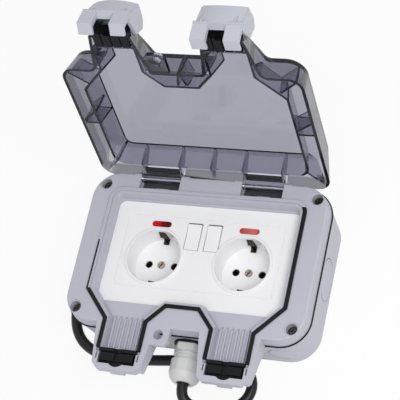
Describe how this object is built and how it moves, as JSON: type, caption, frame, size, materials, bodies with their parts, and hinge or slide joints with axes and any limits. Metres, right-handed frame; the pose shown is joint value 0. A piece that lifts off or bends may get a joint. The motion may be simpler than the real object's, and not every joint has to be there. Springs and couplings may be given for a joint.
{
  "type": "outdoor weatherproof socket",
  "caption": "Weatherproof double wall outlet with rocker switches, neon windows, a hinged see-through lid with snap latches, cable snouts and a glanded supply cord.",
  "frame": {"origin": "centre of the wall box's flat back", "axes": "+Z out of the face, +Y towards the lid's hinge, +X to the right seen from the front"},
  "size_m": [0.189, 0.218, 0.1927],
  "materials": {
    "grey_plastic": "fine-textured light bluish grey moulding",
    "latch_plastic": "smooth light grey moulding",
    "white_plastic": "glossy white moulding",
    "smoked_plastic": "clear smoked polycarbonate",
    "black_rubber": "soft matt rubber",
    "cord_rubber": "smooth rubber sheath",
    "core_insulation": "coloured core insulation",
    "gland_plastic": "light grey nylon",
    "terminal_plastic": "plain moulding",
    "neon_red": "clear red lens",
    "lamp_glass": "neon bulb",
    "steel": "plated steel",
    "brass": "plain brass"
  },
  "bodies": {
    "housing": {"back_box": "grey_plastic", "box_seal": "black_rubber", "front_frame": "grey_plastic", "lid_gasket_middle": "black_rubber", "lid_gasket": "black_rubber", "cover_plate": "white_plastic", "plate_carrier": "white_plastic", "switch_body": "white_plastic", "rocker_pin": "steel", "plate_screws": "steel", "frame_screws": "steel", "gland_washer": "black_rubber", "gland_body": "gland_plastic", "gland_insert": "black_rubber", "gland_nut": "gland_plastic", "gland_locknut": "gland_plastic", "terminal_block": "terminal_plastic", "cord_inlet": "cord_rubber", "supply_cord": "cord_rubber", "cord_cores": "core_insulation", "left_socket_well": "white_plastic", "left_contact_sleeves": "brass", "left_earth_clip": "steel", "left_well_screw": "steel", "left_neon_lens": "neon_red", "left_neon_lamp": "lamp_glass", "left_lower_seal": "black_rubber", "left_hinge_pin": "steel", "right_socket_well": "white_plastic", "right_contact_sleeves": "brass", "right_earth_clip": "steel", "right_well_screw": "steel", "right_neon_lens": "neon_red", "right_neon_lamp": "lamp_glass", "right_lower_seal": "black_rubber", "right_hinge_pin": "steel"},
    "lid": {"lid_shell": "smoked_plastic", "left_upper_seal": "black_rubber", "left_latch_pin": "steel", "right_upper_seal": "black_rubber", "right_latch_pin": "steel"},
    "left_latch": {"left_latch": "latch_plastic"},
    "right_latch": {"right_latch": "latch_plastic"},
    "left_rocker": {"left_rocker": "white_plastic"},
    "right_rocker": {"right_rocker": "white_plastic"}
  },
  "joints": [
    {"name": "lid_hinge", "type": "hinge", "parent": "housing", "child": "lid", "pos_m": [0, 0.0535, 0.043], "axis": [1, 0, 0], "range_deg": [0, 104.06]},
    {"name": "left_latch_swing", "type": "hinge", "parent": "lid", "child": "left_latch", "pos_m": [-0.0381, 0.10133, 0.17225], "axis": [1, 0, 0], "range_deg": [-15, 20]},
    {"name": "right_latch_swing", "type": "hinge", "parent": "lid", "child": "right_latch", "pos_m": [0.0381, 0.10133, 0.17225], "axis": [1, 0, 0], "range_deg": [-35, 0]},
    {"name": "left_rocker_tilt", "type": "hinge", "parent": "housing", "child": "left_rocker", "pos_m": [-0.00725, 0.01455, 0.0336], "axis": [1, 0, 0], "range_deg": [-8, 0]},
    {"name": "right_rocker_tilt", "type": "hinge", "parent": "housing", "child": "right_rocker", "pos_m": [0.00725, 0.01455, 0.0336], "axis": [1, 0, 0], "range_deg": [-8, 0]}
  ]
}
